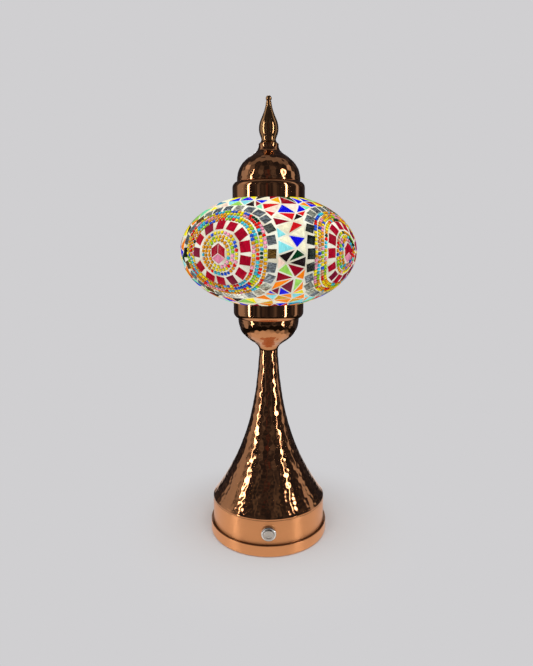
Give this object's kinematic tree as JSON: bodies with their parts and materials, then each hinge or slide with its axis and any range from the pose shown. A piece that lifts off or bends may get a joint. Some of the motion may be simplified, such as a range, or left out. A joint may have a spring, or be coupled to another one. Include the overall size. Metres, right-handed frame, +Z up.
{
  "type": "mosaic glass table lamp",
  "caption": "Cordless table lamp: hammered copper trumpet base with a push button, an oblate mosaic glass globe between two spun caps, and a turned finial.",
  "frame": {"origin": "on the table at the middle of the foot pad's underside", "axes": "+Z up along the lamp's axis, -Y towards the front where the push button is, +X to the right"},
  "size_m": [0.1662, 0.1668, 0.4205],
  "materials": {
    "hammered_copper": "dark copper plating, mirror polished over hammer marks",
    "spun_copper": "dark copper plating, mirror polished",
    "satin_copper": "bright copper plating, satin",
    "bronze": "dark gold plating, polished",
    "felt": "pressed felt",
    "zinc_steel": "zinc plated",
    "spring_steel": "bare spring steel",
    "brass": "turned brass",
    "contact_nickel": "nickel plated",
    "cell_sleeve": "shrink sleeve",
    "black_plastic": "moulded, satin",
    "chip_black": "moulded packages",
    "wire_pvc": "wire insulation",
    "circuit_board": "solder mask",
    "switch_chrome": "bright chrome",
    "button_steel": "circular brushed",
    "gasket_rubber": "moulded",
    "steatite": "unglazed",
    "blown_glass": "clear blown glass",
    "plaster": "cream grout, lit from behind",
    "ruby_glass": "hand-cut coloured glass",
    "bead_glass": "glass seed beads in mixed colours",
    "mirror_glass": "silvered glass",
    "field_glass": "hand-cut coloured glass in mixed colours",
    "bulb_opal": "opal",
    "bulb_plastic": "moulded",
    "led_phosphor": "phosphor",
    "black_insulator": "glassy insulator"
  },
  "bodies": {
    "base": {"foot_pad": "felt", "foot_tray": "satin_copper", "tray_screws": "zinc_steel", "base_band": "satin_copper", "hammered_stem": "hammered_copper", "bridge_plate": "zinc_steel", "bridge_posts": "brass", "rod_washer": "zinc_steel", "rod_nut_lower": "zinc_steel", "tie_rod": "zinc_steel", "rod_nut_upper": "zinc_steel", "battery_cells": "cell_sleeve", "battery_cradle": "black_plastic", "battery_contacts": "contact_nickel", "battery_wires": "wire_pvc", "control_board": "circuit_board", "board_spacers": "brass", "board_screws": "zinc_steel", "board_parts": "chip_black", "usb_socket": "contact_nickel", "usb_bezel": "black_plastic", "switch_barrel": "switch_chrome", "switch_nut": "zinc_steel", "switch_gasket": "gasket_rubber", "switch_spring": "spring_steel", "switch_wires": "wire_pvc", "lower_cup": "spun_copper", "holder_base": "black_plastic", "holder_shell": "black_plastic", "holder_core": "steatite", "holder_sleeve": "brass", "holder_contact": "brass", "shade_ring": "black_plastic", "lamp_wires": "wire_pvc", "globe_spring_clip": "spring_steel"},
    "button": {"switch_button": "button_steel"},
    "bulb": {"bulb_dome": "bulb_opal", "bulb_body": "bulb_plastic", "bulb_led_board": "bulb_plastic", "bulb_leds": "led_phosphor", "bulb_screw_shell": "contact_nickel", "bulb_insulator": "black_insulator", "bulb_contact": "contact_nickel"},
    "globe": {"glass_globe": "blown_glass", "plaster_bed": "plaster", "ruby_hearts": "ruby_glass", "ruby_tiles": "ruby_glass", "seed_beads": "bead_glass", "mirror_tiles": "mirror_glass", "field_tiles": "field_glass"},
    "cap": {"upper_cap": "spun_copper", "cap_nipple": "zinc_steel", "cap_nut": "zinc_steel", "cap_washer": "zinc_steel", "clip_nuts": "zinc_steel", "cap_spring_clip": "spring_steel", "finial": "bronze"}
  },
  "joints": [
    {"name": "button_press", "type": "slide", "parent": "base", "child": "button", "axis": [0, 1, 0], "range_m": [0, 0.0015], "stiffness_N_per_m": 900, "springref_m": -0.001},
    {"name": "bulb_lift", "type": "slide", "parent": "base", "child": "bulb", "axis": [0, 0, 1], "range_m": [0, 0.026]},
    {"name": "globe_lift", "type": "slide", "parent": "base", "child": "globe", "axis": [0, 0, 1], "range_m": [0, 0.11]},
    {"name": "cap_lift", "type": "slide", "parent": "globe", "child": "cap", "axis": [0, 0, 1], "range_m": [0, 0.04]}
  ]
}
